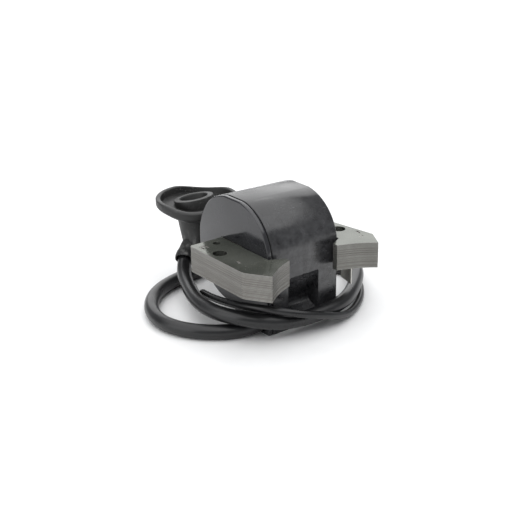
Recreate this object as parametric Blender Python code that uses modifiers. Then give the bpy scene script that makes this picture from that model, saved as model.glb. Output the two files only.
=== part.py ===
"""Small-engine ignition coil: potted winding on a laminated core, with lead, plug boot and kill wire.

Lengths in the tables below are millimetres in the coil's own frame: X along the winding axis,
-Y towards the flywheel, Z up, zero at the middle of the core. The scene is in metres, and every
object stands in it at COIL_X, COIL_Y, COIL_Z, so that the part rests on z = 0.
"""

from math import asin, atan2, cos, degrees, hypot, pi, radians, sin, sqrt, tan

import bmesh
import bpy
import numpy as np
from mathutils import Matrix, Vector

MM = 0.001
GAP = 0.3  # clearance between neighbouring pieces

# Core; the pole tips' places are measured forward from the case's front
SHEET = 0.5  # thickness of one lamination
SHEETS = 25
YOKE_WIDTH = 16.0
BODY_LEFT = -20.4  # outer face of the end cover
BODY_RIGHT = 20.4  # outer face of the case's closed end
POLE_ARC = 48.0
POLE_ARC_AHEAD = 52.9  # to the flywheel's axis
POLE_TIP_X = 14.0
POLE_TIP_AHEAD = 4.1
POLE_SHOULDER_AHEAD = 0.5
LEG_BACK = 8.0
LEFT_REACH = 38.3
LEFT_HEEL_AHEAD = 5.1
LEFT_ROUND = 1.2
HEEL_ROUND = 6.0
RIGHT_REACH = 36.6
RIGHT_HEEL_AHEAD = 6.5
RIGHT_BEND_X = 33.1
RIGHT_BEND_Y = -11.6
RIGHT_BACK_X = 30.0
LEG_TIP_X = 31.0
MOUNT_HOLE = 6.5
LEFT_HOLE = (-32.9, -7.9)
RIGHT_HOLE = (28.6, -18.6)
SMALL_HOLE = 3.4
LEFT_SMALL_HOLE = (-26.8, 3.1)
RIGHT_SMALL_HOLE = (25.0, 3.1)

# Case, as seen along the winding axis
ARC = 24.0  # radius of the rounded top and back
FRONT_ARC_Y = -3.1
BACK_ARC_Y = 2.0
ARC_Z = 3.3
LOW_ARC_Z = -1.0
CASE_TOP = ARC + 3.1
CASE_FLOOR = -(ARC + 1.0)
TOE_DEPTH = ARC + 8.0  # from the winding axis to the resting face
TOE_BACK = -1.0
WALL = 2.0
CASE_DRAFT = 1.1  # drop of the top over the length of the case
COVER = 2.4
EDGE = 0.45
COVER_EDGE = 0.7
WINDING_ROOM = ARC - 1.0  # radius left free for the winding
TOE_ROOM_FRONT = -16.8
POCKET_HALF = 9.0
# depth behind the case's front, and height
POCKET = [(-4.9, -6.0), (0.1, -6.4), (1.6, -10.1), (5.6, -15.9), (7.5, -21.1), (6.5, -24.2),
          (1.1, -26.4), (0.0, -27.0), (-4.9, -29.4)]

# Windings
BOBBIN_WALL = 1.2
BOBBIN_HALF = 15.8
BOBBIN_FLANGE = (26.0, 22.5)
PRIMARY_DEPTH = 2.5
SECONDARY_BORE = 17.5
SECONDARY_TUBE = 18.5
SECONDARY_FLANGE = WINDING_ROOM - 1.4
SECONDARY_RIB = 1.0
SECONDARY_SLOTS = 5
SECONDARY_COPPER = WINDING_ROOM - 2.0

# Parts inside the toe
BOARD = (30.0, 9.2, 1.0)
BOARD_Y = -8.4
BOARD_Z = 3.9 - TOE_DEPTH
TERMINAL_WIRE = 1.6
TERMINAL_X = -5.5
TERMINAL_Y = -14.9
CONTACT_DEPTH = 0.8  # how far the terminal wire reaches into the winding's room

# Leads
HT_LEAD = 7.0
HT_BORE_END = -10.6
HT_FIT = 0.35  # radial room around the lead in its socket
HT_POINTS = 80
KILL_LEAD = 3.6
KILL_POINTS = 64
GROMMET_BODY = 3.2
GROMMET_FLANGE = 4.2
GROMMET_LIP = 1.0

# Ground strap
STRAP = 0.6
STRAP_X = (21.2, 27.3)
STRAP_Y = (-30.0, 6.0)
STRAP_NOTCH = 4.0
TAB_Y = -23.0
TAB_DROP = (-17.9, -16.4)  # lower edge at the front and at the back
RIVET = 2.8
RIVET_HEAD = 5.2
RIVET_HEAD_HEIGHT = 0.8

# Plug boot
TRAY_X = -6.4
TRAY_Y = 47.4
TRAY_TOP = 12.5
TRAY_FIXED = 10.5  # radius inside which the flange stays flat
TRAY_SAG = 2.3
TRAY_SAG_TOWARDS = 46.0
TRAY_RADIUS = 20.7
TRAY_RIM = 2.5
TRAY_DEPTH = 3.7
TRAY_FLOOR = 1.8
TRAY_WALL = 3.5
BARREL_TOP = (-8.3, 48.0, 12.5)
BARREL_TILT = 11.4
BARREL_TURN = 18.4
BARREL_RADIUS = 10.0
BARREL_TAPER = 0.6
BARREL_LENGTH = 29.0
PLUG_BORE = 6.8
PLUG_BORE_DEPTH = 26.5
ELBOW_RADIUS = 4.8
ELBOW_LIP = 5.3
ELBOW_BORE = 4.1
ELBOW_LENGTH = 9.5
ELBOW_CROWN = (-11.0, 40.9, -7.4)
CROWN_RADIUS = 5.4
SPRING_RADIUS = 3.3
SPRING_WIRE = 1.0
SPRING_TOP = 8.0  # below the collar
SPRING_LENGTH = 10.0
SPRING_TURNS = 5

# Route of the high-tension lead, from its socket in the toe round to the boot, on a case of this size
HT_ROUTE = [
    (-11.0, -21.5, -27.0), (-15.5, -21.5, -27.0), (-20.4, -21.45, -27.1), (-29.5, -19.7, -28.2),
    (-39.5, -14.6, -28.4), (-48.9, -4.5, -28.4), (-53.4, 10.5, -28.4), (-48.2, 27.8, -28.4),
    (-33.6, 41.8, -28.4), (-11.0, 48.4, -28.4), (13.0, 50.0, -28.4), (36.0, 46.0, -28.2),
    (52.0, 32.0, -26.6), (58.0, 13.0, -24.8), (52.0, -6.0, -24.5), (38.0, -20.5, -24.4),
    (20.5, -31.3, -24.5), (-1.0, -33.5, -25.0), (-19.4, -31.7, -23.2), (-30.0, -25.0, -21.2),
    (-36.2, -14.4, -20.8), (-37.8, -1.5, -20.9), (-34.9, 11.0, -21.1), (-29.8, 23.5, -21.1),
    (-25.0, 33.6, -19.7), (-19.3, 40.6, -15.4), (-13.9, 43.2, -10.2),
]
# Route of the kill wire, from its grommet in the closed end to its bare-cut tip
KILL_ROUTE = [
    (18.9, 10.0, -17.0), (22.5, 10.1, -17.1), (27.5, 11.5, -18.6), (36.0, 14.8, -24.4),
    (44.5, 14.5, -29.0), (50.8, 9.5, -30.1), (53.3, 1.0, -30.1), (51.0, -8.5, -30.1),
    (45.0, -17.5, -30.1), (37.5, -25.0, -30.1), (28.5, -31.2, -30.1), (18.5, -36.1, -28.9),
    (8.6, -38.9, -25.7), (-1.0, -39.3, -22.3), (-12.5, -36.9, -19.0), (-21.8, -30.2, -16.9),
    (-27.0, -18.5, -17.9), (-28.3, -5.0, -20.2), (-27.3, 7.0, -22.4), (-25.9, 18.2, -23.9),
]

# The case that both routes and the boot's place are given for
ROUTE_FRONT = -27.1
ROUTE_BACK = 26.0
ROUTE_FOOT = 32.0

STACK = SHEET * SHEETS
COIL_X = (LEFT_REACH - RIGHT_REACH) / 2
CASE_FRONT = FRONT_ARC_Y - ARC
CASE_BACK = BACK_ARC_Y + ARC
POLE_ARC_CENTRE = CASE_FRONT - POLE_ARC_AHEAD
POLE_TIP_BACK = CASE_FRONT - POLE_TIP_AHEAD
POLE_SHOULDER = CASE_FRONT - POLE_SHOULDER_AHEAD
LEFT_HEEL = CASE_FRONT - LEFT_HEEL_AHEAD
RIGHT_HEEL = CASE_FRONT - RIGHT_HEEL_AHEAD
POLE_TIP_FRONT = POLE_ARC_CENTRE + sqrt(POLE_ARC**2 - LEG_TIP_X**2)
COIL_Y = -(CASE_BACK + POLE_TIP_FRONT) / 2
COIL_Z = TOE_DEPTH
COVER_INNER = BODY_LEFT + COVER
CASE_LEFT = COVER_INNER + GAP


def fitted(x, y, z):
    """A place beside the case, kept in front of it, behind it and over the floor when the case grows."""
    stretch = CASE_FRONT / ROUTE_FRONT if y < 0 else CASE_BACK / ROUTE_BACK
    return (x, y * stretch, z + ROUTE_FOOT - TOE_DEPTH)


def follow(x, y, z):
    """A place on the boot, which keeps to the end of its lead."""
    along = fitted(*HT_ROUTE[-1])
    return tuple(own + moved - end for own, moved, end in zip((x, y, z), along, HT_ROUTE[-1]))


HT_ENTRY = fitted(*HT_ROUTE[1])[1:]
KILL_ENTRY = fitted(*KILL_ROUTE[0])[1:]
TRAY_PLACE = follow(TRAY_X, TRAY_Y, 0.0)
BARREL_PLACE = follow(*BARREL_TOP)
CROWN_PLACE = follow(*ELBOW_CROWN)

# (base colour, roughness, metallic)
MATERIALS = {
    "core_steel": ((0.42, 0.41, 0.38, 1.0), 0.5, 1.0),
    "case_plastic": ((0.07, 0.07, 0.08, 1.0), 0.38, 0.0),
    "bobbin_plastic": ((0.55, 0.52, 0.46, 1.0), 0.5, 0.0),
    "copper_wire": ((0.60, 0.27, 0.12, 1.0), 0.35, 1.0),
    "potting": ((0.10, 0.09, 0.08, 1.0), 0.3, 0.0),
    "brass": ((0.72, 0.55, 0.25, 1.0), 0.35, 1.0),
    "circuit_board": ((0.08, 0.22, 0.11, 1.0), 0.45, 0.0),
    "component_black": ((0.03, 0.03, 0.03, 1.0), 0.4, 0.0),
    "component_tan": ((0.62, 0.48, 0.30, 1.0), 0.45, 0.0),
    "zinc_steel": ((0.62, 0.60, 0.54, 1.0), 0.4, 1.0),
    "lead_rubber": ((0.09, 0.09, 0.10, 1.0), 0.4, 0.0),
    "wire_rubber": ((0.05, 0.05, 0.055, 1.0), 0.4, 0.0),
    "boot_rubber": ((0.06, 0.06, 0.065, 1.0), 0.6, 0.0),
    "grommet_rubber": ((0.06, 0.06, 0.065, 1.0), 0.5, 0.0),
    "spring_steel": ((0.55, 0.55, 0.56, 1.0), 0.3, 1.0),
}


def start_scene():
    for obj in list(bpy.data.objects):
        bpy.data.objects.remove(obj, do_unlink=True)
    scene = bpy.context.scene
    parts = bpy.data.collections.new("ignition_coil")
    cutters = bpy.data.collections.new("cutters")
    cutters.hide_render = True
    scene.collection.children.link(parts)
    scene.collection.children.link(cutters)
    return parts, cutters


PARTS, CUTTERS = start_scene()


def material(slot):
    if slot in bpy.data.materials:
        return bpy.data.materials[slot]
    colour, roughness, metallic = MATERIALS[slot]
    made = bpy.data.materials.new(slot)
    made.use_nodes = True
    shader = made.node_tree.nodes["Principled BSDF"]
    shader.inputs["Base Color"].default_value = colour
    shader.inputs["Roughness"].default_value = roughness
    shader.inputs["Metallic"].default_value = metallic
    made.diffuse_color = colour
    return made


def add(name, data, slot, at=(0.0, 0.0, 0.0), turn=(0.0, 0.0, 0.0)):
    """Stand data in the scene: at in the coil's frame, turn in degrees. No slot makes it a cutter."""
    obj = bpy.data.objects.new(name, data)
    obj.location = ((at[0] + COIL_X) * MM, (at[1] + COIL_Y) * MM, (at[2] + COIL_Z) * MM)
    obj.rotation_euler = [radians(angle) for angle in turn]
    if slot:
        data.materials.append(material(slot))
        PARTS.objects.link(obj)
    else:
        CUTTERS.objects.link(obj)
        obj.hide_render = True
        obj.display_type = "WIRE"
    bpy.context.view_layer.update()
    return obj


def as_mesh(curve):
    """The same object with its curve or modifiers made into a mesh."""
    graph = bpy.context.evaluated_depsgraph_get()
    mesh = bpy.data.meshes.new_from_object(curve.evaluated_get(graph))
    shape = bmesh.new()
    shape.from_mesh(mesh)
    bmesh.ops.remove_doubles(shape, verts=shape.verts, dist=0.002 * MM)
    bmesh.ops.recalc_face_normals(shape, faces=shape.faces)
    shape.to_mesh(mesh)
    shape.free()
    name = curve.name
    home = curve.users_collection[0]
    made = bpy.data.objects.new(name + "_mesh", mesh)
    made.matrix_world = curve.matrix_world
    made.hide_render = curve.hide_render
    made.display_type = curve.display_type
    home.objects.link(made)
    bpy.data.objects.remove(curve, do_unlink=True)
    made.name = name
    bpy.context.view_layer.update()
    return made


def slab(name, outlines, low, high, slot, along="Z"):
    """Flat outlines (later ones are holes) filled and drawn out from low to high along Z or X."""
    curve = bpy.data.curves.new(name, "CURVE")
    curve.dimensions = "2D"
    curve.fill_mode = "BOTH"
    curve.extrude = (high - low) / 2 * MM
    for outline in outlines:
        spline = curve.splines.new("POLY")
        spline.points.add(len(outline) - 1)
        for point, (u, v) in zip(spline.points, outline):
            point.co = (u * MM, v * MM, 0.0, 1.0)
        spline.use_cyclic_u = True
    middle = (low + high) / 2
    if along == "X":
        return add(name, curve, slot, (middle, 0.0, 0.0), (90.0, 0.0, 90.0))
    return add(name, curve, slot, (0.0, 0.0, middle))


def box(name, low, high, slot):
    shape = bmesh.new()
    bmesh.ops.create_cube(shape, size=1.0)
    size = [(b - a) * MM for a, b in zip(low, high)]
    bmesh.ops.scale(shape, vec=size, verts=shape.verts)
    mesh = bpy.data.meshes.new(name)
    shape.to_mesh(mesh)
    shape.free()
    return add(name, mesh, slot, [(a + b) / 2 for a, b in zip(low, high)])


def turned(name, profile, slot, at=(0.0, 0.0, 0.0), turn=(0.0, 0.0, 0.0), steps=40, closed=True):
    """A profile of (radius, height) points, turned once round its own Z axis."""
    mesh = bpy.data.meshes.new(name)
    count = len(profile)
    edges = [(i, i + 1) for i in range(count - 1)]
    if closed:
        edges.append((count - 1, 0))
    mesh.from_pydata([(r * MM, 0.0, z * MM) for r, z in profile], edges, [])
    obj = add(name, mesh, slot, at, turn)
    screw = obj.modifiers.new("turn", "SCREW")
    screw.steps = steps
    screw.render_steps = steps
    screw.use_merge_vertices = True
    screw.merge_threshold = 0.00001
    screw.use_smooth_shade = True
    return obj


def rod(name, radius, low, high, slot, at, turn=(0.0, 0.0, 0.0), steps=24):
    """A plain round bar from low to high along its own axis."""
    profile = [(0.0, high), (radius, high), (radius, low), (0.0, low)]
    return turned(name, profile, slot, at, turn, steps, closed=False)


def tube(name, points, radius, slot, detail=2):
    curve = bpy.data.curves.new(name, "CURVE")
    curve.dimensions = "3D"
    curve.bevel_depth = radius * MM
    curve.bevel_resolution = detail
    curve.use_fill_caps = True
    spline = curve.splines.new("POLY")
    spline.points.add(len(points) - 1)
    for point, (x, y, z) in zip(spline.points, points):
        point.co = (x * MM, y * MM, z * MM, 1.0)
    spline.use_smooth = True
    return add(name, curve, slot)


def boolean(obj, other, operation):
    step = obj.modifiers.new(other.name, "BOOLEAN")
    step.operation = operation
    step.object = other
    step.solver = "EXACT"


def cut(obj, *cutters):
    for cutter in cutters:
        boolean(obj, cutter, "DIFFERENCE")


def join(obj, *others):
    for other in others:
        boolean(obj, other, "UNION")


def round_edges(obj, width, segments=2, angle=40.0):
    step = obj.modifiers.new("edges", "BEVEL")
    step.width = width * MM
    step.segments = segments
    step.limit_method = "ANGLE"
    step.angle_limit = radians(angle)
    step.harden_normals = False


def shade(obj, angle=35.0):
    """Smooth round faces and keep sharp edges."""
    mesh = obj.data
    shape = bmesh.new()
    shape.from_mesh(mesh)
    for face in shape.faces:
        face.smooth = True
    for edge in shape.edges:
        edge.smooth = edge.calc_face_angle(0.0) < radians(angle)
    shape.to_mesh(mesh)
    shape.free()


def arc(centre, radius, start, end, count):
    """Points on a circle from start to end degrees."""
    return [
        (centre[0] + radius * cos(radians(start + (end - start) * i / count)),
         centre[1] + radius * sin(radians(start + (end - start) * i / count)))
        for i in range(count + 1)
    ]


def circle(centre, radius, count=24):
    return arc(centre, radius, 0.0, 360.0, count)[:-1]


def smooth_route(points, count):
    """count points evenly along the natural cubic spline through the given points."""
    knots = np.array(points, float)
    steps = np.linalg.norm(np.diff(knots, axis=0), axis=1)
    size = len(knots)
    system = np.eye(size)
    right = np.zeros((size, 3))
    for i in range(1, size - 1):
        system[i, i - 1] = steps[i - 1]
        system[i, i] = 2 * (steps[i - 1] + steps[i])
        system[i, i + 1] = steps[i]
        right[i] = 6 * ((knots[i + 1] - knots[i]) / steps[i] - (knots[i] - knots[i - 1]) / steps[i - 1])
    bend = np.linalg.solve(system, right)
    fine = []
    for i in range(size - 1):
        for u in np.linspace(0.0, 1.0, 40, endpoint=i == size - 2):
            v = 1 - u
            lift = (v**3 - v) * bend[i] + (u**3 - u) * bend[i + 1]
            fine.append(v * knots[i] + u * knots[i + 1] + steps[i] ** 2 / 6 * lift)
    fine = np.array(fine)
    run = np.r_[0.0, np.cumsum(np.linalg.norm(np.diff(fine, axis=0), axis=1))]
    even = np.linspace(0.0, run[-1], count)
    return [Vector([np.interp(s, run, fine[:, axis]) for axis in range(3)]) for s in even]


def tail(route, length):
    """The last stretch of a route."""
    kept = [route[-1]]
    run = 0.0
    for a, b in zip(route[-2::-1], route[::-1]):
        run += (b - a).length
        kept.insert(0, a)
        if run >= length:
            break
    return kept


def case_outline(inset=0.0):
    """The case seen along the winding axis, without its hollows."""
    radius = ARC - inset
    top = CASE_TOP - inset
    lift = degrees(asin((top - ARC_Z) / radius))
    front = arc((FRONT_ARC_Y, ARC_Z), radius, 180.0, 180.0 - lift, 14)
    back = arc((BACK_ARC_Y, ARC_Z), radius, lift, 0.0, 14)
    low = arc((BACK_ARC_Y, LOW_ARC_Z), radius, 0.0, -90.0, 12)
    toe = [(TOE_BACK, CASE_FLOOR), (TOE_BACK, -TOE_DEPTH), (CASE_FRONT, -TOE_DEPTH)]
    return front + back + low + toe


def winding_floor(inset, y):
    return -sqrt((WINDING_ROOM - inset) ** 2 - y**2)


def room_outline(inset, with_toe):
    """The hollow of the case, or what fills it, inset from the hollow's walls."""
    radius = ARC - WALL - inset
    top = CASE_TOP - WALL - inset
    lift = degrees(asin((top - ARC_Z) / radius))
    front = arc((FRONT_ARC_Y, ARC_Z), radius, 180.0, 180.0 - lift, 12)
    back = arc((BACK_ARC_Y, ARC_Z), radius, lift, 0.0, 12)
    low = arc((BACK_ARC_Y, LOW_ARC_Z), radius, 0.0, -90.0, 10)
    room = WINDING_ROOM - inset
    if with_toe:
        toe_back = TOE_BACK - WALL
        toe_low = -TOE_DEPTH + WALL
        under = [(toe_back, winding_floor(inset, toe_back)), (toe_back, toe_low), (TOE_ROOM_FRONT, toe_low)]
        first = atan2(winding_floor(inset, TOE_ROOM_FRONT), TOE_ROOM_FRONT)
        under += arc((0.0, 0.0), room, degrees(first), -180.0 + 2.5, 6)
        return front + back + low + under
    return front + back + low + arc((0.0, 0.0), room, -86.0, -180.0 + 2.5, 12)


def taper_top(obj):
    """Draw the top down towards the closed end, as the mould does."""
    span = BODY_RIGHT - CASE_LEFT
    start = obj.location.x / MM - COIL_X - CASE_LEFT
    for vertex in obj.data.vertices:
        # local X, Y, Z are the coil's Y, Z, X
        along = start + vertex.co.z / MM
        height = vertex.co.y / MM - ARC_Z
        if height > 0:
            vertex.co.y -= CASE_DRAFT * MM * along / span * height / (CASE_TOP - ARC_Z)


def make_window():
    """The way for the yoke through the cover and the closed end."""
    window_y = YOKE_WIDTH / 2 + GAP
    window_z = STACK / 2 + GAP
    reach = BODY_RIGHT + 5.0
    return box("yoke_window", (-reach, -window_y, -window_z), (reach, window_y, window_z), None)


def make_lead_bore():
    return rod("lead_bore", HT_LEAD / 2 + HT_FIT, -30.0, HT_BORE_END, None, (0.0, *HT_ENTRY),
               (0.0, 90.0, 0.0), 24)


def make_case(window, lead_bore):
    case = as_mesh(slab("coil_case", [case_outline()], CASE_LEFT, BODY_RIGHT, "case_plastic", "X"))
    taper_top(case)
    shade(case)
    round_edges(case, EDGE)
    room = as_mesh(slab("case_room", [room_outline(0.0, True)], CASE_LEFT - 5.0, BODY_RIGHT - WALL,
                        None, "X"))
    taper_top(room)
    hollow = [(CASE_FRONT + depth, height) for depth, height in POCKET]
    pocket = as_mesh(slab("case_pocket", [hollow], -POCKET_HALF, POCKET_HALF, None, "X"))
    wire_bore = rod("wire_bore", GROMMET_BODY + GAP, 10.0, 30.0, None, (0.0, *KILL_ENTRY),
                    (0.0, 90.0, 0.0), 20)
    cut(case, room, window, pocket, lead_bore, wire_bore, *terminal_ways())


def make_cover(window, lead_bore):
    cover = as_mesh(slab("end_cover", [case_outline()], BODY_LEFT, COVER_INNER, "case_plastic", "X"))
    shade(cover)
    round_edges(cover, COVER_EDGE)
    cut(cover, window, lead_bore)


def terminal_route():
    entry_y, entry_z = HT_ENTRY
    contact = -sqrt((WINDING_ROOM - CONTACT_DEPTH) ** 2 - TERMINAL_Y**2)
    return [(HT_ROUTE[0][0] + GAP, entry_y, entry_z), (TERMINAL_X, entry_y, entry_z),
            (TERMINAL_X, TERMINAL_Y, entry_z), (TERMINAL_X, TERMINAL_Y, contact)]


def terminal_ways():
    """Passages for the terminal wire, out of the lead's socket and back into the toe."""
    entry_y, entry_z = HT_ENTRY
    radius = TERMINAL_WIRE / 2 + GAP
    along = rod("terminal_way_x", radius, HT_BORE_END - 1.0, TERMINAL_X + radius, None,
                (0.0, entry_y, entry_z), (0.0, 90.0, 0.0), 16)
    back = rod("terminal_way_y", radius, entry_y - radius, TOE_ROOM_FRONT + 1.0, None,
               (TERMINAL_X, 0.0, entry_z), (-90.0, 0.0, 0.0), 16)
    return along, back


def make_core():
    low = -STACK / 2
    high = STACK / 2
    half = YOKE_WIDTH / 2
    box("core_yoke", (BODY_LEFT, -half, low), (BODY_RIGHT, half, high), "core_steel")
    sweep_in = degrees(asin(POLE_TIP_X / POLE_ARC))
    sweep_out = degrees(asin(LEG_TIP_X / POLE_ARC))
    left_inner = BODY_LEFT - GAP
    left = arc((-LEFT_REACH + LEFT_ROUND, LEG_BACK - LEFT_ROUND), LEFT_ROUND, 90.0, 180.0, 3)
    heel_turn = degrees(atan2(LEFT_REACH - LEG_TIP_X, LEFT_HEEL - POLE_TIP_FRONT))
    heel = (-LEFT_REACH + HEEL_ROUND, LEFT_HEEL + HEEL_ROUND * tan(radians(heel_turn / 2)))
    left += arc(heel, HEEL_ROUND, 180.0, 180.0 + heel_turn, 4)
    left += arc((0.0, POLE_ARC_CENTRE), POLE_ARC, 90.0 + sweep_out, 90.0 + sweep_in, 8)
    left += [(-POLE_TIP_X, POLE_TIP_BACK), (left_inner, POLE_SHOULDER), (left_inner, LEG_BACK)]
    right_inner = BODY_RIGHT + GAP
    right = [(RIGHT_BACK_X, LEG_BACK), (right_inner, LEG_BACK), (right_inner, POLE_SHOULDER)]
    right += [(POLE_TIP_X, POLE_TIP_BACK)]
    right += arc((0.0, POLE_ARC_CENTRE), POLE_ARC, 90.0 - sweep_in, 90.0 - sweep_out, 8)
    right += [(RIGHT_REACH, RIGHT_HEEL), (RIGHT_BEND_X, RIGHT_BEND_Y)]
    for name, outline, mount, small in (
        ("left_leg", left, LEFT_HOLE, LEFT_SMALL_HOLE),
        ("right_leg", right, RIGHT_HOLE, RIGHT_SMALL_HOLE),
    ):
        holes = [circle(mount, MOUNT_HOLE / 2, 24), circle(small, SMALL_HOLE / 2, 16)]
        leg = as_mesh(slab(name, [outline, *holes], low, high, "core_steel"))
        shade(leg)


def make_primary():
    inner_y = YOKE_WIDTH / 2 + GAP
    inner_z = STACK / 2 + GAP
    outer_y = inner_y + BOBBIN_WALL
    outer_z = inner_z + BOBBIN_WALL
    half = BOBBIN_HALF
    flange_y, flange_z = (side / 2 for side in BOBBIN_FLANGE)
    bobbin = box("primary_bobbin", (-half, -outer_y, -outer_z), (half, outer_y, outer_z), "bobbin_plastic")
    ends = [
        box("bobbin_flange_left", (-half, -flange_y, -flange_z), (BOBBIN_WALL - half, flange_y, flange_z), None),
        box("bobbin_flange_right", (half - BOBBIN_WALL, -flange_y, -flange_z), (half, flange_y, flange_z), None),
    ]
    join(bobbin, *ends)
    core_way = box("bobbin_core_way", (-half - 5.0, -inner_y, -inner_z), (half + 5.0, inner_y, inner_z), None)
    cut(bobbin, core_way)
    wire_half = half - BOBBIN_WALL - GAP
    wire_y = outer_y + GAP
    wire_z = outer_z + GAP
    winding = box("primary_winding", (-wire_half, -wire_y - PRIMARY_DEPTH, -wire_z - PRIMARY_DEPTH),
                  (wire_half, wire_y + PRIMARY_DEPTH, wire_z + PRIMARY_DEPTH), "copper_wire")
    round_edges(winding, 1.0, 3)
    bobbin_way = box("winding_bobbin_way", (-half, -wire_y, -wire_z), (half, wire_y, wire_z), None)
    cut(winding, bobbin_way)


def make_secondary():
    half = BOBBIN_HALF
    pitch = (2 * half - SECONDARY_RIB) / SECONDARY_SLOTS
    profile = [(SECONDARY_FLANGE, half), (SECONDARY_FLANGE, half - SECONDARY_RIB)]
    for slot in range(1, SECONDARY_SLOTS + 1):
        top = half - slot * pitch
        above = top + pitch - SECONDARY_RIB
        profile += [(SECONDARY_TUBE, above), (SECONDARY_TUBE, top)]
        profile += [(SECONDARY_FLANGE, top), (SECONDARY_FLANGE, top - SECONDARY_RIB)]
        turned(
            f"secondary_winding_{slot}",
            [(SECONDARY_COPPER, above - GAP), (SECONDARY_COPPER, top + GAP),
             (SECONDARY_TUBE + GAP, top + GAP), (SECONDARY_TUBE + GAP, above - GAP)],
            "copper_wire", turn=(0.0, 90.0, 0.0), steps=36,
        )
    profile += [(SECONDARY_BORE, -half), (SECONDARY_BORE, half)]
    turned("secondary_bobbin", profile, "bobbin_plastic", turn=(0.0, 90.0, 0.0), steps=36)


def make_potting():
    low = CASE_LEFT + 0.5
    high = BODY_RIGHT - WALL - GAP
    potting = as_mesh(slab("potting_compound", [room_outline(GAP, False)], low, high, "potting", "X"))
    taper_top(potting)
    shade(potting)
    winding_way = rod("winding_way", SECONDARY_FLANGE + GAP, low - 5.0, high + 5.0, None, (0.0, 0.0, 0.0),
                      (0.0, 90.0, 0.0), 40)
    terminal_way = rod("terminal_way_z", TERMINAL_WIRE / 2 + GAP, -26.0, -10.0, None,
                       (TERMINAL_X, TERMINAL_Y, 0.0), steps=16)
    cut(potting, winding_way, terminal_way)


def make_electronics():
    tube("ht_terminal", terminal_route(), TERMINAL_WIRE / 2, "brass", 2)
    long, wide, thick = BOARD
    board_top = BOARD_Z + thick / 2
    box("control_board", (-long / 2, BOARD_Y - wide / 2, BOARD_Z - thick / 2),
        (long / 2, BOARD_Y + wide / 2, board_top), "circuit_board")
    rest = board_top + GAP
    box("power_transistor", (6.0, BOARD_Y - 3.3, rest), (12.6, BOARD_Y + 2.9, rest + 2.3), "component_black")
    rod("control_transistor", 2.1, 0.0, 3.4, "component_black", (1.0, BOARD_Y, rest), steps=16)
    rod("filter_capacitor", 2.4, 0.0, 3.0, "component_tan", (-11.0, BOARD_Y, rest), steps=16)
    rod("bias_resistor", 1.1, -3.2, 3.2, "component_tan", (-4.5, BOARD_Y + 2.6, rest + 1.1),
        (0.0, 90.0, 0.0), 12)
    rod("protection_diode", 1.2, -2.4, 2.4, "component_black", (-4.5, BOARD_Y - 2.4, rest + 1.2),
        (0.0, 90.0, 0.0), 12)


def make_grommet():
    bore = KILL_LEAD / 2 + GAP
    inner = BODY_RIGHT - WALL + 0.2
    face = BODY_RIGHT + GAP
    profile = [
        (GROMMET_FLANGE, face + GROMMET_LIP), (GROMMET_FLANGE, face), (GROMMET_BODY, face),
        (GROMMET_BODY, inner), (bore, inner), (bore, face + GROMMET_LIP),
    ]
    turned("kill_lead_grommet", profile, "grommet_rubber", (0.0, *KILL_ENTRY), (0.0, 90.0, 0.0), 20)


def make_strap():
    inner, outer = STRAP_X
    front, back = STRAP_Y
    top = -STACK / 2 - GAP
    hole_x, hole_y = RIGHT_HOLE
    side = sqrt(STRAP_NOTCH**2 - (outer - hole_x) ** 2)
    reach = degrees(atan2(side, outer - hole_x))
    notch = arc(RIGHT_HOLE, STRAP_NOTCH, reach, 360.0 - reach, 12)
    outline = [(outer, back), *notch, (outer, front), (inner, front), (inner, back)]
    hole = circle(RIGHT_SMALL_HOLE, RIVET / 2 + GAP, 16)
    strap = as_mesh(slab("ground_strap", [outline, hole], top - STRAP, top, "zinc_steel"))
    shade(strap)
    drop_front, drop_back = TAB_DROP
    tab_outline = [(front, top - STRAP / 2), (TAB_Y, top - STRAP / 2), (TAB_Y, drop_back), (front, drop_front)]
    tab = as_mesh(slab("strap_tab", [tab_outline], outer - STRAP, outer, None, "X"))
    join(strap, tab)
    top_head = STACK / 2 + GAP
    low_head = top - STRAP - GAP
    shaft = RIVET / 2
    head = RIVET_HEAD / 2
    tall = RIVET_HEAD_HEIGHT
    profile = [
        (0.0, top_head + tall), (head * 0.7, top_head + tall), (head, top_head + tall * 0.4), (head, top_head),
        (shaft, top_head), (shaft, low_head), (head, low_head), (head, low_head - tall * 0.5),
        (head * 0.7, low_head - tall), (0.0, low_head - tall),
    ]
    turned("ground_strap_rivet", profile, "zinc_steel", (*RIGHT_SMALL_HOLE, 0.0), steps=20, closed=False)


def make_leads():
    ht_route = smooth_route([fitted(*place) for place in HT_ROUTE], HT_POINTS)
    tube("ht_lead", ht_route, HT_LEAD / 2, "lead_rubber", 3)
    kill_route = smooth_route([fitted(*place) for place in KILL_ROUTE], KILL_POINTS)
    tube("kill_lead", kill_route, KILL_LEAD / 2, "wire_rubber", 2)
    return ht_route


def barrel_point(depth, radius=0.0, angle=0.0):
    """A point inside the boot, by its depth below the collar and its place round the barrel."""
    lean = Matrix.Rotation(radians(BARREL_TURN), 3, "Z") @ Matrix.Rotation(radians(-BARREL_TILT), 3, "X")
    local = Vector((radius * cos(angle), radius * sin(angle), -depth))
    return Vector(BARREL_PLACE) + lean @ local


def sag_flange(obj):
    """Let the soft flange hang at two opposite sides, as it does from handling."""
    for vertex in obj.data.vertices:
        free = (hypot(vertex.co.x, vertex.co.y) / MM - TRAY_FIXED) / (TRAY_RADIUS - TRAY_FIXED)
        side = cos(2 * (atan2(vertex.co.y, vertex.co.x) - radians(TRAY_SAG_TOWARDS)))
        if free > 0 and side > 0:
            vertex.co.z -= TRAY_SAG * MM * (free * side) ** 1.5


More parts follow.
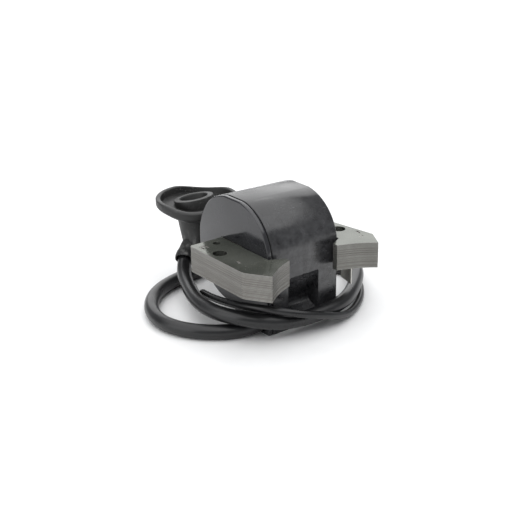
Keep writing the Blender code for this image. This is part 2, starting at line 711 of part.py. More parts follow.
def make_boot(ht_route):
    outer = TRAY_RADIUS
    top = TRAY_TOP
    floor = top - TRAY_DEPTH
    under = floor - TRAY_FLOOR
    tray_profile = [
        (0.0, floor), (TRAY_FIXED, floor), (outer - TRAY_RIM - 0.6, floor), (outer - TRAY_RIM, floor + 0.6),
        (outer - TRAY_RIM, top - 0.4), (outer - TRAY_RIM + 0.4, top), (outer - 0.5, top), (outer, top - 0.5),
        (outer, top - TRAY_WALL), (outer - 1.8, under), (TRAY_FIXED, under), (0.0, under),
    ]
    boot = as_mesh(turned("plug_boot", tray_profile[::-1], "boot_rubber", TRAY_PLACE, steps=40, closed=False))
    sag_flange(boot)
    shade(boot)
    tilt = (-BARREL_TILT, 0.0, BARREL_TURN)
    low = -BARREL_LENGTH
    narrow = BARREL_RADIUS - BARREL_TAPER
    barrel = turned(
        "boot_barrel",
        [(0.0, 0.0), (BARREL_RADIUS - 0.4, 0.0), (BARREL_RADIUS, -0.4), (narrow, low + 4.0),
         (narrow - 1.2, low + 1.2), (narrow - 4.0, low), (0.0, low)],
        None, BARREL_PLACE, tilt, 32, closed=False,
    )
    bore = turned(
        "boot_bore",
        [(0.0, 5.0), (PLUG_BORE, 5.0), (PLUG_BORE, 3.0 - PLUG_BORE_DEPTH),
         (PLUG_BORE - 3.0, -PLUG_BORE_DEPTH), (0.0, -PLUG_BORE_DEPTH)],
        None, BARREL_PLACE, tilt, 28, closed=False,
    )
    inside = tail(ht_route, ELBOW_LENGTH)
    axis_point = barrel_point(BARREL_TOP[2] + 9.6)
    outward = tail(ht_route, ELBOW_LENGTH + 8.0)
    elbow = as_mesh(tube("boot_elbow", [*inside, axis_point], ELBOW_RADIUS, None, 4))
    lip = as_mesh(tube("boot_lip", inside[:2], ELBOW_LIP, None, 4))
    way = as_mesh(tube("boot_lead_way", [*outward, outward[-1].lerp(axis_point, 0.5)], ELBOW_BORE, None, 4))
    dome = [(CROWN_RADIUS * sin(pi * i / 8), CROWN_RADIUS * cos(pi * i / 8)) for i in range(1, 8)]
    crown = turned("boot_crown", [(0.0, CROWN_RADIUS), *dome, (0.0, -CROWN_RADIUS)], None, CROWN_PLACE,
                   steps=16, closed=False)
    join(boot, barrel, elbow, lip, crown)
    cut(boot, bore, way)


def make_plug_terminal(ht_route):
    """The spring that grips the plug, with its tail at the lead's end."""
    count = SPRING_TURNS * 12
    turns = []
    for i in range(count + 1):
        depth = SPRING_TOP + SPRING_LENGTH * i / count
        turns.append(barrel_point(depth, SPRING_RADIUS, pi + 2 * pi * i / 12))
    end = ht_route[-1]
    ahead = (end - ht_route[-2]).normalized()
    stop = end + ahead * (GAP + SPRING_WIRE)
    tube("plug_terminal_spring", [*turns, stop.lerp(turns[-1], 0.5), stop], SPRING_WIRE / 2, "spring_steel", 1)


def build():
    window = make_window()
    lead_bore = make_lead_bore()
    make_case(window, lead_bore)
    make_cover(window, lead_bore)
    make_core()
    make_primary()
    make_secondary()
    make_potting()
    make_electronics()
    make_grommet()
    make_strap()
    ht_route = make_leads()
    make_boot(ht_route)
    make_plug_terminal(ht_route)


build()
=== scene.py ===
# %% [markdown]
# # A small-engine ignition coil
# The real object is a transformer potted in a dark moulded case. It sits on a laminated steel core whose two
# legs reach towards the flywheel. A thick lead carries the spark to a rubber plug boot, and a thin kill wire
# stops the engine. The coil's frame is loaded first: each piece made here stands where that frame has it.

from math import asin, atan2, cos, degrees, pi, radians, sin, sqrt

import bpy
import numpy as np
from mathutils import Euler, Matrix, Vector


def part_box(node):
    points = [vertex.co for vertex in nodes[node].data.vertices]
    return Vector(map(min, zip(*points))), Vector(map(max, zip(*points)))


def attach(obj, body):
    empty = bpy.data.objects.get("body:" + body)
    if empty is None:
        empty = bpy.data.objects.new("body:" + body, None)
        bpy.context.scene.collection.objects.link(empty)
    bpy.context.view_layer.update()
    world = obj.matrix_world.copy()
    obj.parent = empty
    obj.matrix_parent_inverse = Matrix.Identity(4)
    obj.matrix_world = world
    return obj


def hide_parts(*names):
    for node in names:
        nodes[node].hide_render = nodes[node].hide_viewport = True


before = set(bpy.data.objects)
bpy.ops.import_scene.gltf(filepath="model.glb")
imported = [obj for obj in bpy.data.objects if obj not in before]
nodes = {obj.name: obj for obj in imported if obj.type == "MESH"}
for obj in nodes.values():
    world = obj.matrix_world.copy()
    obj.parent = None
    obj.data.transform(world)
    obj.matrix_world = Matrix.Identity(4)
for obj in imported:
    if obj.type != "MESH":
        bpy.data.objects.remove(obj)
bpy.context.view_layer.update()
print("frame nodes:", len(nodes))

# %% [markdown]
# Lengths below are in millimetres from the middle of the core, X along the winding and -Y towards the
# flywheel. `spot` turns them into metres in the scene. The yoke lies exactly in the middle of the core, so
# its box gives that point.

# %% The coil's own axes
MM = 0.001
yoke_low, yoke_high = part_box("core_yoke")
COIL = (yoke_low + yoke_high) / 2
HALF_STACK = (yoke_high.z - yoke_low.z) / 2 / MM


def spot(x, y, z):
    return COIL + Vector((x, y, z)) * MM


print("middle of the core:", [round(v / MM, 2) for v in COIL], "mm, half stack", round(HALF_STACK, 2))

# %% [markdown]
# A hand-sized part is best looked at from about half a metre, a little above and to the left, through a lens
# about one and a half times as long as normal, so that it keeps its proportions.

# %% Camera
camera_data = bpy.data.cameras.new("camera")
camera_data.sensor_width = 36.0
camera_data.lens = 73.99
camera_data.clip_start = 0.02
camera = bpy.data.objects.new("camera", camera_data)
bpy.context.scene.collection.objects.link(camera)
camera.location = spot(-292.52, -373.30, 189.38)
aim = Euler((radians(90 - 22.78), 0.0, radians(-37.86))).to_matrix()
camera.rotation_euler = (aim @ Matrix.Rotation(radians(-0.53), 3, "Z")).to_euler()
bpy.context.scene.camera = camera
print("camera at", [round(v, 3) for v in camera.location])

# %% [markdown]
# ## The two leads
# The high-tension lead is 7 mm silicone-covered copper, stiff enough to hold its loop. It leaves the toe of
# the case, runs round behind it, comes back across the front and climbs into the boot. The kill wire is
# 3.6 mm, leaves the closed end, lies on the ground, climbs over the thick lead and ends free. Each is a curve
# through a few chosen points: a natural cubic spline makes it as smooth as a bent lead.

# %% Routes
HT_ROUTE = [
    (-11.0, -21.5, -27.0), (-15.5, -21.5, -27.0), (-20.4, -21.45, -27.1), (-29.5, -19.7, -28.2),
    (-39.5, -14.6, -28.4), (-48.9, -4.5, -28.4), (-53.4, 10.5, -28.4), (-48.2, 27.8, -28.4),
    (-33.6, 41.8, -28.4), (-11.0, 48.4, -28.4), (13.0, 50.0, -28.4), (36.0, 46.0, -28.2),
    (52.0, 32.0, -26.6), (58.0, 13.0, -24.8), (52.0, -6.0, -24.5), (38.0, -20.5, -24.4),
    (20.5, -31.3, -24.5), (-1.0, -33.5, -25.0), (-19.4, -31.7, -23.2), (-30.0, -25.0, -21.2),
    (-36.2, -14.4, -20.8), (-37.8, -1.5, -20.9), (-34.9, 11.0, -21.1), (-29.8, 23.5, -21.1),
    (-25.0, 33.6, -19.7), (-19.3, 40.6, -15.4), (-13.9, 43.2, -10.2),
]
KILL_ROUTE = [
    (18.9, 10.0, -17.0), (22.5, 10.1, -17.1), (27.5, 11.5, -18.6), (36.0, 14.8, -24.4),
    (44.5, 14.5, -29.0), (50.8, 9.5, -30.1), (53.3, 1.0, -30.1), (51.0, -8.5, -30.1),
    (45.0, -17.5, -30.1), (37.5, -25.0, -30.1), (28.5, -31.2, -30.1), (18.5, -36.1, -28.9),
    (8.6, -38.9, -25.7), (-1.0, -39.3, -22.3), (-12.5, -36.9, -19.0), (-21.8, -30.2, -16.9),
    (-27.0, -18.5, -17.9), (-28.3, -5.0, -20.2), (-27.3, 7.0, -22.4), (-25.9, 18.2, -23.9),
]


def smooth_route(points, spacing):
    """Points every spacing millimetres along the natural cubic spline through the given points."""
    knots = np.array(points, float)
    steps = np.linalg.norm(np.diff(knots, axis=0), axis=1)
    size = len(knots)
    system = np.eye(size)
    right = np.zeros((size, 3))
    for i in range(1, size - 1):
        system[i, i - 1] = steps[i - 1]
        system[i, i] = 2 * (steps[i - 1] + steps[i])
        system[i, i + 1] = steps[i]
        right[i] = 6 * ((knots[i + 1] - knots[i]) / steps[i] - (knots[i] - knots[i - 1]) / steps[i - 1])
    bend = np.linalg.solve(system, right)
    fine = []
    for i in range(size - 1):
        for u in np.linspace(0.0, 1.0, 40, endpoint=i == size - 2):
            v = 1 - u
            lift = (v**3 - v) * bend[i] + (u**3 - u) * bend[i + 1]
            fine.append(v * knots[i] + u * knots[i + 1] + steps[i] ** 2 / 6 * lift)
    fine = np.array(fine)
    run = np.r_[0.0, np.cumsum(np.linalg.norm(np.diff(fine, axis=0), axis=1))]
    even = np.linspace(0.0, run[-1], int(round(run[-1] / spacing)) + 1)
    return [Vector([np.interp(s, run, fine[:, axis]) for axis in range(3)]) for s in even], run[-1]


ht_points, ht_length = smooth_route(HT_ROUTE, 1.5)
kill_points, kill_length = smooth_route(KILL_ROUTE, 1.2)
print("high-tension lead", round(ht_length), "mm, kill wire", round(kill_length), "mm")

# %% [markdown]
# A lead is one open curve with a round bevel of 1 m, and each point's radius brings that down to the lead's
# own: Blender then knows how thick the curve really is. The kill wire's end is a sealed dome: the radius of
# the last points follows a quarter circle.

# %% Lead shapes
HT_LEAD = 7.0
KILL_LEAD = 3.6


def lay_lead(name, points, diameter, dome=0.0):
    curve = bpy.data.curves.new(name, "CURVE")
    curve.dimensions = "3D"
    curve.bevel_depth = 1.0
    curve.bevel_resolution = 7
    curve.use_fill_caps = True
    spline = curve.splines.new("POLY")
    spline.points.add(len(points) - 1)
    end = points[-1]
    for point, place in zip(spline.points, points):
        point.co = (*spot(*place), 1.0)
        point.radius = diameter / 2 * MM
        left = (end - place).length
        if left < dome:
            point.radius *= max(0.02, sqrt(1 - (1 - left / dome) ** 2))
    spline.use_smooth = True
    lead = bpy.data.objects.new(name, curve)
    bpy.context.scene.collection.objects.link(lead)
    return lead


ht_lead = lay_lead("high_tension_lead", ht_points, HT_LEAD)
DOME_STEPS = (0.3, 0.55, 0.75, 0.9, 0.97, 1.0)
dome_points = kill_points[:-2] + [kill_points[-3].lerp(kill_points[-1], t) for t in DOME_STEPS]
kill_lead = lay_lead("kill_wire", dome_points, KILL_LEAD, dome=1.8)
for lead, cad_name in ((ht_lead, "ht_lead"), (kill_lead, "kill_lead")):
    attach(lead, "root")
    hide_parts(cad_name)
    print(lead.name, "has", len(lead.data.splines[0].points), "points")

# %% [markdown]
# ## Ways of making a piece
# Most pieces here are stampings and mouldings: an outline given a thickness, or a profile turned once round.
# The outline is drawn as by hand, from one vertex that is extruded to each next point. Four helpers do what
# is repeated: `only` selects one object, `draw` lays the line, `thicken` pulls a face out and `settle`
# applies the modifiers and puts the object's origin back at the scene's.

# %% Helpers
ops = bpy.ops


def only(obj):
    ops.object.select_all(action="DESELECT")
    obj.select_set(True)
    bpy.context.view_layer.objects.active = obj


def draw(name, points, closed=True):
    """A line through the points, in metres, with the last one left selected."""
    ops.object.select_all(action="DESELECT")
    ops.mesh.primitive_plane_add(size=0.001, location=points[0])
    obj = bpy.context.active_object
    obj.name = name
    ops.object.mode_set(mode="EDIT")
    ops.mesh.merge(type="CENTER")
    for a, b in zip(points, points[1:]):
        ops.mesh.extrude_region_move(TRANSFORM_OT_translate={"value": Vector(b) - Vector(a)})
    ops.mesh.select_all(action="SELECT")
    if closed:
        ops.mesh.edge_face_add()
    return obj


def thicken(by):
    """Pull the selected face out by a vector and finish the solid."""
    ops.mesh.extrude_region_move(TRANSFORM_OT_translate={"value": Vector(by) * MM})
    ops.mesh.select_all(action="SELECT")
    ops.mesh.normals_make_consistent(inside=False)
    ops.object.mode_set(mode="OBJECT")


def settle(obj, angle=35.0):
    only(obj)
    for step in list(obj.modifiers):
        ops.object.modifier_apply(modifier=step.name)
    ops.object.transform_apply(location=True, rotation=True, scale=True)
    ops.object.shade_smooth_by_angle(angle=radians(angle))


def soften(obj, width, segments=3, angle=40.0):
    step = obj.modifiers.new("edges", "BEVEL")
    step.width = width * MM
    step.segments = segments
    step.limit_method = "ANGLE"
    step.angle_limit = radians(angle)
    only(obj)
    ops.object.modifier_apply(modifier=step.name)


def carve(obj, cutter, operation="DIFFERENCE"):
    step = obj.modifiers.new("carve", "BOOLEAN")
    step.operation = operation
    step.object = cutter
    step.solver = "EXACT"
    only(obj)
    ops.object.modifier_apply(modifier=step.name)
    bpy.data.objects.remove(cutter, do_unlink=True)


def arc(centre, radius, start, end, count):
    return [
        (centre[0] + radius * cos(radians(start + (end - start) * i / count)),
         centre[1] + radius * sin(radians(start + (end - start) * i / count)))
        for i in range(count + 1)
    ]


def drum(radius, depth, place, turn=(0.0, 0.0, 0.0), sides=48):
    """A round cutter or blank of this radius and depth about a place, in millimetres."""
    ops.object.select_all(action="DESELECT")
    ops.mesh.primitive_cylinder_add(vertices=sides, radius=radius * MM, depth=depth * MM,
                                    location=spot(*place), rotation=[radians(a) for a in turn])
    return bpy.context.active_object


def block(low, high):
    """A box from low to high, in millimetres."""
    ops.object.select_all(action="DESELECT")
    middle = [(a + b) / 2 for a, b in zip(low, high)]
    ops.mesh.primitive_cube_add(size=1.0, location=spot(*middle),
                                scale=[(b - a) * MM for a, b in zip(low, high)])
    return bpy.context.active_object


def finish_piece(obj, slot, *replaced):
    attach(obj, "root")
    if replaced:
        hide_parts(*replaced)
    print(obj.name, "has", len(obj.data.polygons), "faces")


# %% [markdown]
# ## The case
# The moulded case is a rounded top on a flat front flank, standing on a deep toe. Seen along the winding its
# outline has two arcs of 24 mm with their centres 5 mm apart, joined by the flat on top. The mould needs a
# little draft to let go, so the top falls by about a millimetre towards the closed end. The front has a
# rounded recess over a sloping sill.

# %% Case outline
ARC = 24.0
FRONT_ARC_Y = -3.1
BACK_ARC_Y = 2.0
ARC_Z = 3.3
LOW_ARC_Z = -1.0
CASE_TOP = 27.1
CASE_FLOOR = -25.0
CASE_FOOT = -32.0
TOE_BACK = -1.0
CASE_LEFT = -17.7
BODY_HALF = 20.4
DRAFT = 1.1


def case_outline(x):
    lift = degrees(asin((CASE_TOP - ARC_Z) / ARC))
    around = arc((FRONT_ARC_Y, ARC_Z), ARC, 180.0, 180.0 - lift, 40)
    around += arc((BACK_ARC_Y, ARC_Z), ARC, lift, 0.0, 40)
    around += arc((BACK_ARC_Y, LOW_ARC_Z), ARC, 0.0, -90.0, 32)
    around += [(TOE_BACK, CASE_FLOOR), (TOE_BACK, CASE_FOOT), (FRONT_ARC_Y - ARC, CASE_FOOT)]
    return [spot(x, y, z) for y, z in around]


# %% Case body
case = draw("moulded_case", case_outline(CASE_LEFT))
thicken((BODY_HALF - CASE_LEFT, 0.0, 0.0))


def lower_top(obj):
    """Draw the top down towards the closed end, as the mould does."""
    for vertex in obj.data.vertices:
        place = (obj.matrix_world @ vertex.co - COIL) / MM
        if place.z > ARC_Z:
            along = (place.x - CASE_LEFT) / (BODY_HALF - CASE_LEFT)
            vertex.co.z -= DRAFT * MM * along * (place.z - ARC_Z) / (CASE_TOP - ARC_Z)


lower_top(case)
soften(case, 0.45)
case_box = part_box("coil_case")
print("case length", round((case_box[1].x - case_box[0].x) / MM, 1), "mm")

# %% [markdown]
# The recess is a block with the recess's own outline, taken out of the case with a Boolean. The block's own
# edges are bevelled first, which leaves rounded corners in the recess. The room for the
# winding follows the outside with a 2 mm wall and is open on the left, where the cover closes it. The same
# step opens the window for the core and the hole for the kill wire's grommet.

# %% Recess, window and socket
WALL = 2.0
GAP = 0.3
WINDOW_HALF = 8.3
OPENING = 5.0
POCKET_HALF = 9.0
POCKET = [
    (-34.0, -5.9), (-27.1, -6.2), (-26.6, -7.2), (-25.5, -10.1), (-23.9, -12.9), (-21.5, -15.9),
    (-20.2, -18.4), (-19.6, -21.1), (-19.8, -23.1), (-20.9, -24.4), (-26.0, -26.4), (-27.1, -27.0),
    (-34.0, -30.6),
]
recess = draw("recess", [spot(-POCKET_HALF, y, z) for y, z in POCKET])
thicken((2 * POCKET_HALF, 0.0, 0.0))
soften(recess, 0.5, 2, 60.0)
carve(case, recess)
inside = ARC - WALL
room_lift = degrees(asin((CASE_TOP - WALL - ARC_Z) / inside))
room_line = arc((FRONT_ARC_Y, ARC_Z), inside, 180.0, 180.0 - room_lift, 24)
room_line += arc((BACK_ARC_Y, ARC_Z), inside, room_lift, 0.0, 24)
room_line += arc((BACK_ARC_Y, LOW_ARC_Z), inside, 0.0, -90.0, 20)
room_line += [(-3.0, -22.8), (-3.0, -30.0), (-16.8, -30.0)]
room_line += arc((0.0, 0.0), 23.0, -136.9, -177.5, 12)
room = draw("room", [spot(CASE_LEFT - OPENING, y, z) for y, z in room_line])
thicken((BODY_HALF - WALL - CASE_LEFT + OPENING, 0.0, 0.0))
lower_top(room)
carve(case, room)
carve(case, block((10.0, -WINDOW_HALF, -HALF_STACK - GAP), (30.0, WINDOW_HALF, HALF_STACK + GAP)))
carve(case, drum(3.5, 6.0, (19.5, 10.0, -17.0), (0.0, 90.0, 0.0)))
settle(case)
finish_piece(case, "case_plastic", "coil_case")

# %% [markdown]
# The winding is pushed in from the left, and a flat cover closes that end. Its rim is rounded a little more
# than the case's, and the fine gap between them shows as a dark line.

# %% End cover
COVER = 2.4
cover = draw("end_cover_plate", case_outline(-BODY_HALF))
thicken((COVER, 0.0, 0.0))
soften(cover, 0.75, 4)
carve(cover, block((-30.0, -WINDOW_HALF, -HALF_STACK - GAP), (-10.0, WINDOW_HALF, HALF_STACK + GAP)))
carve(cover, drum(HT_LEAD / 2 + 0.35, 8.0, (-19.2, -21.5, -27.0), (0.0, 90.0, 0.0)))
settle(cover)
finish_piece(cover, "case_plastic", "end_cover")

# %% [markdown]
# ## The laminated legs
# A magneto core is stamped from thin steel sheets so that eddy currents stay small. One sheet is drawn with
# its concave pole face, bored, and its burr softened. Then 24 copies join it. A real stack is never
# perfectly flush, so each copy is a few hundredths of a millimetre out of line, and the gaps catch the light.

# %% One sheet of each leg
SHEETS = 25
PITCH = 2 * HALF_STACK / SHEETS
SHEET_GAP = 0.1
SHEET = PITCH - SHEET_GAP
FLYWHEEL_Y = -80.0
POLE_ARC = 48.0
POLE_TIP_X = 14.0
LEG_INNER = 20.7
LEG_BACK = 8.0
MOUNT_HOLE = 6.5
SMALL_HOLE = 3.4
LEFT_HOLES = [(-32.9, -7.9), (-26.8, 3.1)]
RIGHT_HOLES = [(28.6, -18.6), (25.0, 3.1)]
sweep_in = degrees(asin(POLE_TIP_X / POLE_ARC))
sweep_out = degrees(asin(31.0 / POLE_ARC))
left_outline = arc((-37.1, 6.8), 1.2, 90.0, 180.0, 8)
left_outline += arc((-32.3, -30.41), 6.0, 180.0, 213.2, 12)
left_outline += arc((0.0, FLYWHEEL_Y), POLE_ARC, 90.0 + sweep_out, 90.0 + sweep_in, 24)
left_outline += [(-POLE_TIP_X, -31.2), (-LEG_INNER, -27.6), (-LEG_INNER, LEG_BACK)]
right_outline = [(30.0, LEG_BACK), (LEG_INNER, LEG_BACK), (LEG_INNER, -27.6), (POLE_TIP_X, -31.2)]
right_outline += arc((0.0, FLYWHEEL_Y), POLE_ARC, 90.0 - sweep_in, 90.0 - sweep_out, 24)
right_outline += [(36.6, -33.6), (33.1, -11.6)]


def stamp_sheet(name, outline, mount, small):
    sheet = draw(name, [spot(x, y, -HALF_STACK + SHEET_GAP / 2) for x, y in outline])
    thicken((0.0, 0.0, SHEET))
    carve(sheet, drum(MOUNT_HOLE / 2, 4.0, (*mount, -HALF_STACK), sides=48))
    carve(sheet, drum(SMALL_HOLE / 2, 4.0, (*small, -HALF_STACK), sides=32))
    soften(sheet, 0.06, 1, 50.0)
    settle(sheet, 30.0)
    return sheet


left_sheet = stamp_sheet("laminated_left_leg", left_outline, *LEFT_HOLES)
right_sheet = stamp_sheet("laminated_right_leg", right_outline, *RIGHT_HOLES)
print("one sheet has", len(left_sheet.data.polygons), "faces")

# %% [markdown]
# The top sheet also shows the interlocks: short dents that the press drives from each sheet into the next to
# hold the stack together. They are cut into the top sheet only, because no other one is seen.

# %% Stack the sheets
DENT = (3.0 * MM, 1.1 * MM, 0.42 * MM)
DENT_TILT = 14
MISFIT = 0.035
scatter = np.random.default_rng(7)


def stack_sheets(sheet, dents):
    copies = []
    for level in range(1, SHEETS):
        copy = sheet.copy()
        copy.data = sheet.data.copy()
        bpy.context.scene.collection.objects.link(copy)
        shift = scatter.uniform(-MISFIT, MISFIT, 2)
        copy.location = Vector((shift[0], shift[1], level * PITCH)) * MM
        copies.append(copy)
    top = copies[-1]
    for x, y, turn in dents:
        ops.object.select_all(action="DESELECT")
        ops.mesh.primitive_cube_add(size=1.0, location=spot(x, y, HALF_STACK),
                                    rotation=(radians(DENT_TILT), 0, radians(turn)), scale=DENT)
        carve(top, bpy.context.active_object)
    ops.object.select_all(action="DESELECT")
    for copy in copies:
        copy.select_set(True)
    sheet.select_set(True)
    bpy.context.view_layer.objects.active = sheet
    ops.object.join()
    settle(sheet, 30.0)


stack_sheets(left_sheet, [(-34.4, 3.6, 8.0), (-35.4, 2.0, 98.0), (-33.0, 2.3, 98.0), (-32.6, -21.6, 74.0)])
stack_sheets(right_sheet, [(30.3, -32.3, 20.0), (32.8, -27.6, 74.0)])
finish_piece(left_sheet, "core_steel", "left_leg")
finish_piece(right_sheet, "core_steel", "right_leg")

# %% [markdown]
# ## The ground strap
# A thin plated strip is riveted under the right leg. It grounds the module to the engine, and its end is
# folded down as a tab in front. The fold is drawn as part of one outline seen from the front.

# %% Strap and rivet
STRAP = 0.6
strap_top = -HALF_STACK - GAP
notch = arc(RIGHT_HOLES[0], 4.0, 109.0, 251.0, 24)
strap = draw("ground_strap_plate", [spot(x, y, strap_top - STRAP) for x, y in
                                    [(27.3, 6.0), *notch, (27.3, -30.0), (21.2, -30.0), (21.2, 6.0)]])
thicken((0.0, 0.0, STRAP))
tab = draw("tab", [spot(26.7, y, z) for y, z in
                   [(-30.0, strap_top - 0.2), (-23.0, strap_top - 0.2), (-23.0, -16.4), (-30.0, -17.9)]])
thicken((STRAP, 0.0, 0.0))
carve(strap, tab, "UNION")
carve(strap, drum(1.7, 3.0, (25.0, 3.1, strap_top), sides=32))
soften(strap, 0.12, 2, 50.0)
settle(strap)
finish_piece(strap, "zinc_steel", "ground_strap")


def turn_profile(name, profile, place, steps=64, closed=False):
    """Spin a profile of (radius, height) points once round the vertical through a place."""
    middle = spot(*place)
    line = draw(name, [middle + Vector((r, 0.0, z)) * MM for r, z in profile], closed=False)
    if closed:
        ops.mesh.edge_face_add()
        ops.mesh.delete(type="ONLY_FACE")
        ops.mesh.select_all(action="SELECT")
    ops.mesh.spin(steps=steps, angle=2 * pi, center=middle, axis=(0.0, 0.0, 1.0))
    ops.mesh.select_all(action="SELECT")
    ops.mesh.remove_doubles(threshold=0.000004)
    ops.mesh.normals_make_consistent(inside=False)
    ops.object.mode_set(mode="OBJECT")
    return line


head_top = HALF_STACK + GAP
head_low = strap_top - STRAP - GAP
rivet = turn_profile(
    "strap_rivet",
    [(0.0, head_top + 0.8), (1.2, head_top + 0.72), (2.1, head_top + 0.5), (2.6, head_top + 0.15),
     (2.6, head_top), (1.4, head_top), (1.4, head_low), (2.6, head_low), (2.5, head_low - 0.35),
     (1.8, head_low - 0.8), (0.0, head_low - 0.8)],
    (25.0, 3.1, 0.0), 40,
)
settle(rivet)
finish_piece(rivet, "zinc_steel", "ground_strap_rivet")

# %% [markdown]
# The kill wire passes the case wall in a small moulded grommet. It is turned upright and then laid over, so
# that its axis points along the winding.

# %% Grommet
GROMMET = (BODY_HALF, 10.0, -17.0)
grommet = turn_profile(
    "wire_grommet",
    [(2.1, 1.3), (2.4, 1.3), (3.9, 1.25), (4.2, 1.05), (4.2, 0.35), (3.9, 0.3), (3.2, 0.3), (3.2, -1.8),
     (2.1, -1.8)],
    GROMMET, 40, closed=True,
)
only(grommet)
ops.transform.rotate(value=radians(-90), orient_axis="Y", center_override=spot(*GROMMET))
settle(grommet)
grommet_box = [(max if side else min)(v.co.x for v in grommet.data.vertices) for side in (0, 1)]
print("grommet from", [round((x - COIL.x) / MM, 2) for x in grommet_box], "mm along the winding")
finish_piece(grommet, "grommet_rubber", "kill_lead_grommet")

# %% [markdown]
# ## The plug boot
# The boot is one rubber moulding. A dished flange keeps rain off the plug, a collar inside it grips the
# plug's insulator, a barrel holds the spring terminal, and an elbow brings the lead in from the side. Flange
# and barrel are turned profiles, and the elbow is a pipe along the end of the lead itself.
# The flange is soft and hangs a little at two opposite sides: after turning, its points are lowered by how
# far out they are and by where they are round the circle.

# %% Flange and barrel
TRAY = (-6.4, 47.4, 0.0)
TRAY_RADIUS = 20.7
BARREL_TOP = (-8.3, 48.0, 12.5)
BARREL_TILT = -11.4
BARREL_TURN = 18.4
SAG_FROM = 10.5
SAG = 2.3
SAG_TOWARDS = 46.0
R = TRAY_RADIUS
boot = turn_profile(
    "rubber_plug_boot",
    [(0.0, 8.8), (10.5, 8.8), (12.2, 8.8), (14.0, 8.8), (15.7, 8.8), (17.3, 8.8), (17.9, 9.0), (18.2, 9.6),
     (18.2, 11.9), (18.4, 12.3), (18.8, 12.5), (20.0, 12.5), (20.45, 12.35), (R, 12.0), (R, 9.4), (20.5, 8.8),
     (19.9, 8.0), (19.1, 7.3), (18.2, 7.0), (16.0, 7.0), (13.5, 7.0), (10.5, 7.0), (0.0, 7.0)],
    TRAY, 96,
)
for vertex in boot.data.vertices:
    out = boot.matrix_world @ vertex.co - spot(*TRAY)
    free = (sqrt(out.x**2 + out.y**2) / MM - SAG_FROM) / (TRAY_RADIUS - SAG_FROM)
    side = cos(2 * (atan2(out.y, out.x) - radians(SAG_TOWARDS)))
    if free > 0 and side > 0:
        vertex.co.z -= SAG * MM * (free * side) ** 1.5


def tilt_barrel(obj):
    only(obj)
    for axis, angle in (("X", BARREL_TILT), ("Z", BARREL_TURN)):
        ops.transform.rotate(value=-radians(angle), orient_axis=axis, center_override=spot(*BARREL_TOP))


barrel = turn_profile(
    "barrel",
    [(0.0, 0.0), (9.3, 0.0), (9.8, -0.15), (10.0, -0.6), (9.8, -12.0), (9.4, -25.0), (9.0, -26.8),
     (8.0, -28.2), (6.4, -29.0), (0.0, -29.0)],
    BARREL_TOP, 72,
)
tilt_barrel(barrel)
bore = turn_profile(
    "bore",
    [(0.0, 5.0), (7.6, 5.0), (7.6, 0.3), (7.1, -0.2), (6.8, -0.8), (6.8, -22.5), (5.8, -25.0), (3.8, -26.5),
     (0.0, -26.5)],
    BARREL_TOP, 64,
)
tilt_barrel(bore)

# %% [markdown]
# `lean` gives a point inside the barrel by its depth below the collar. The elbow runs along the lead's last
# stretch and on to the barrel's axis. Its mouth has a thicker lip, and the hole is wider than the lead.

# %% Elbow
lean = Matrix.Rotation(radians(BARREL_TURN), 3, "Z") @ Matrix.Rotation(radians(BARREL_TILT), 3, "X")


def inside_barrel(depth, radius=0.0, angle=0.0):
    return Vector(BARREL_TOP) + lean @ Vector((radius * cos(angle), radius * sin(angle), -depth))


def pipe(name, points, radii):
    """A round tube along points in millimetres, one radius for each, made a mesh."""
    curve = bpy.data.curves.new(name, "CURVE")
    curve.dimensions = "3D"
    curve.bevel_depth = MM
    curve.bevel_resolution = 10
    curve.use_fill_caps = True
    spline = curve.splines.new("POLY")
    spline.points.add(len(points) - 1)
    for point, place, radius in zip(spline.points, points, radii):
        point.co = (*spot(*place), 1.0)
        point.radius = radius
    spline.use_smooth = True
    tube = bpy.data.objects.new(name, curve)
    bpy.context.scene.collection.objects.link(tube)
    only(tube)
    ops.object.convert(target="MESH")
    ops.object.mode_set(mode="EDIT")
    ops.mesh.select_all(action="SELECT")
    ops.mesh.remove_doubles(threshold=0.000004)
    ops.mesh.normals_make_consistent(inside=False)
    ops.object.mode_set(mode="OBJECT")
    return bpy.context.active_object


SLEEVE_POINTS = 7
sleeve = ht_points[-SLEEVE_POINTS:]
axis_point = inside_barrel(22.1)
elbow_line = sleeve + [sleeve[-1].lerp(axis_point, t) for t in (0.35, 0.7, 1.0)]
elbow_radii = [5.1, 5.3, 5.2, 4.85] + [4.8] * (len(elbow_line) - 4)
elbow = pipe("elbow", elbow_line, elbow_radii)
way_line = ht_points[-SLEEVE_POINTS - 4:] + [sleeve[-1].lerp(axis_point, 0.5)]
way = pipe("lead_way", way_line, [4.6] * 6 + [4.3, 4.1] + [4.1] * (len(way_line) - 8))
carve(boot, barrel, "UNION")
carve(boot, elbow, "UNION")
ops.object.select_all(action="DESELECT")
ops.mesh.primitive_uv_sphere_add(segments=48, ring_count=24, radius=5.4 * MM,
                                 location=spot(-11.0, 40.9, -7.4))
carve(boot, bpy.context.active_object, "UNION")
carve(boot, bore)
carve(boot, way)
settle(boot, 40.0)
finish_piece(boot, "boot_rubber", "plug_boot")

# %% [markdown]
# The spring terminal inside the boot is hard wire, wound five times, with its tail pushed into the lead.

# %% Spring terminal
turns = [inside_barrel(8.0 + 10.0 * i / 120, 3.3, pi + 2 * pi * i / 24) for i in range(121)]
stop = ht_points[-1] + (ht_points[-1] - ht_points[-2]).normalized() * 1.3
spring_line = turns + [turns[-1].lerp(stop, 0.5), stop]
spring = pipe("terminal_spring", spring_line, [0.5] * len(spring_line))
settle(spring)
finish_piece(spring, "spring_steel", "plug_terminal_spring")

# %% [markdown]
# ## Finishes
# Three effects come back on many pieces, so each is a node group. `grain` is the fine unevenness of a
# surface, `scuffs` are small scratches and dust specks, and `streaks` are lines drawn out along one axis, as
# on rolled, sheared or wound metal. Every group reads Object coordinates, so its pattern sits still on the
# part.

